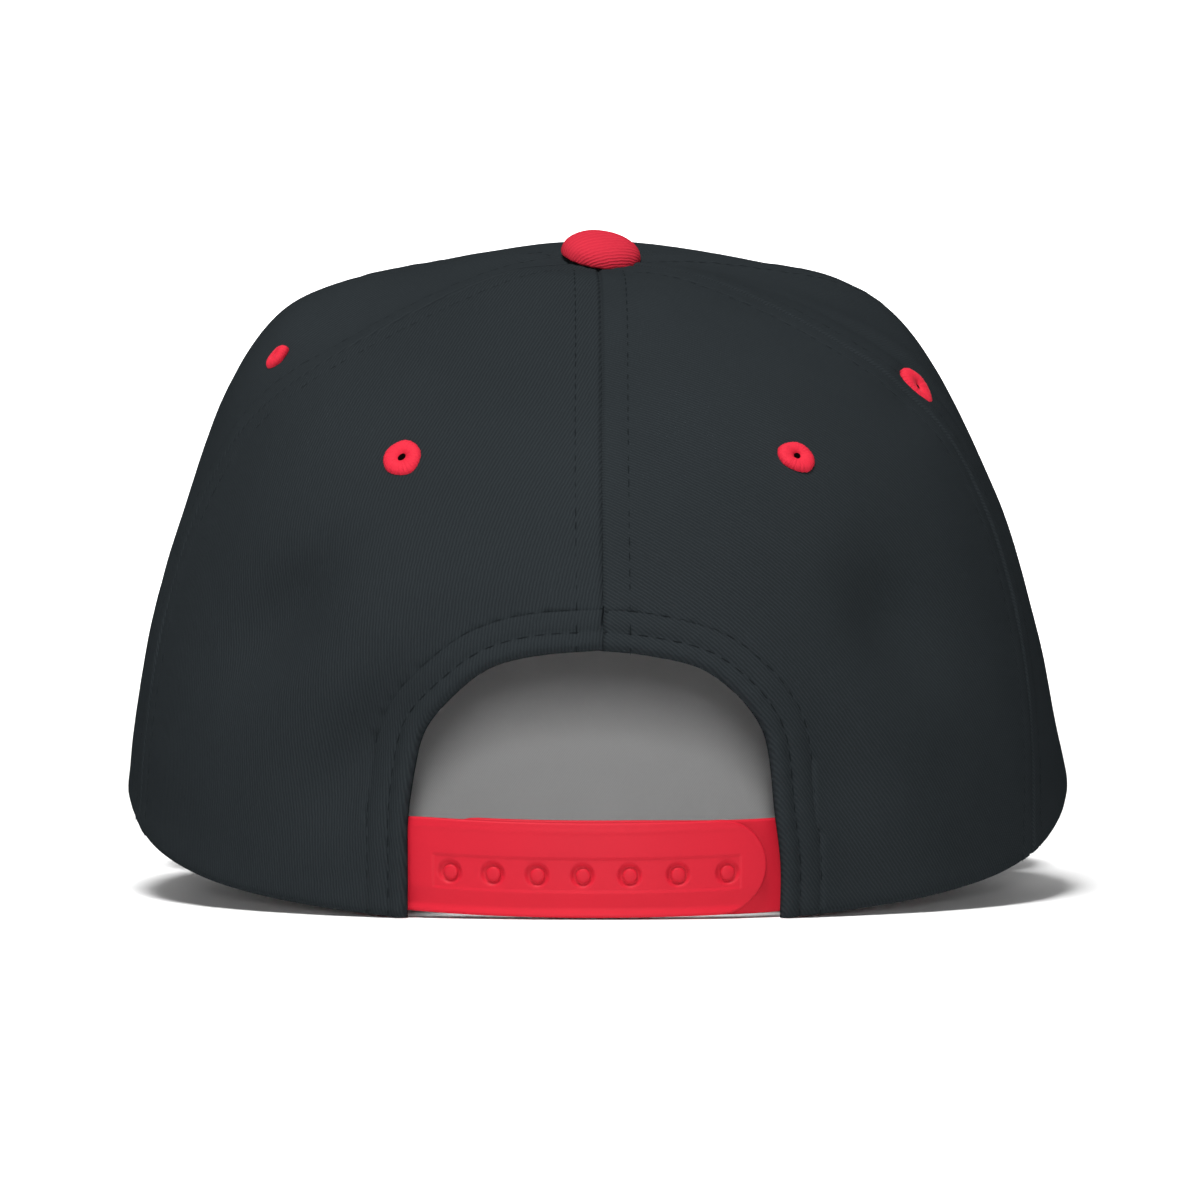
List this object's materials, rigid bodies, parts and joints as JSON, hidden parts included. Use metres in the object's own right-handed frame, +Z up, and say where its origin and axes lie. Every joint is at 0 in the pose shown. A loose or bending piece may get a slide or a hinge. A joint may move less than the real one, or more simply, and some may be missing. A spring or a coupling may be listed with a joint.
{
  "type": "snapback cap",
  "caption": "Charcoal six-panel snapback cap with a red button, red stitched eyelets, a red snap strap, a flat visor and a grey sweatband",
  "frame": {"origin": "centre of the bounding box in plan, on the surface that the cap rests on", "axes": "+Z up, +Y towards the front edge of the visor, +X towards the wearer's right side"},
  "size_m": [0.1762, 0.264, 0.1246],
  "materials": {
    "crown_twill": "dark charcoal cotton twill, matt",
    "visor_twill": "red cotton twill, matt",
    "button_cloth": "red ribbed cloth stretched over a button",
    "eyelet_thread": "red satin-stitched thread, slight sheen",
    "strap_plastic": "red moulded plastic, satin",
    "sweatband_cloth": "mid grey woven tape, matt",
    "undervisor_cloth": "mid grey fine weave, matt"
  },
  "bodies": {
    "root": {"panel_back_left": "crown_twill", "panel_back_right": "crown_twill", "panel_side_left": "crown_twill", "panel_side_right": "crown_twill", "panel_front_left": "crown_twill", "panel_front_right": "crown_twill", "eyelet_back_left": "eyelet_thread", "eyelet_back_right": "eyelet_thread", "eyelet_side_left": "eyelet_thread", "eyelet_side_right": "eyelet_thread", "eyelet_front_left": "eyelet_thread", "eyelet_front_right": "eyelet_thread", "top_button": "button_cloth", "sweatband": "sweatband_cloth", "strap_outer": "strap_plastic", "strap_inner": "strap_plastic", "visor_cover": "visor_twill", "visor_underside": "undervisor_cloth"}
  },
  "joints": []
}
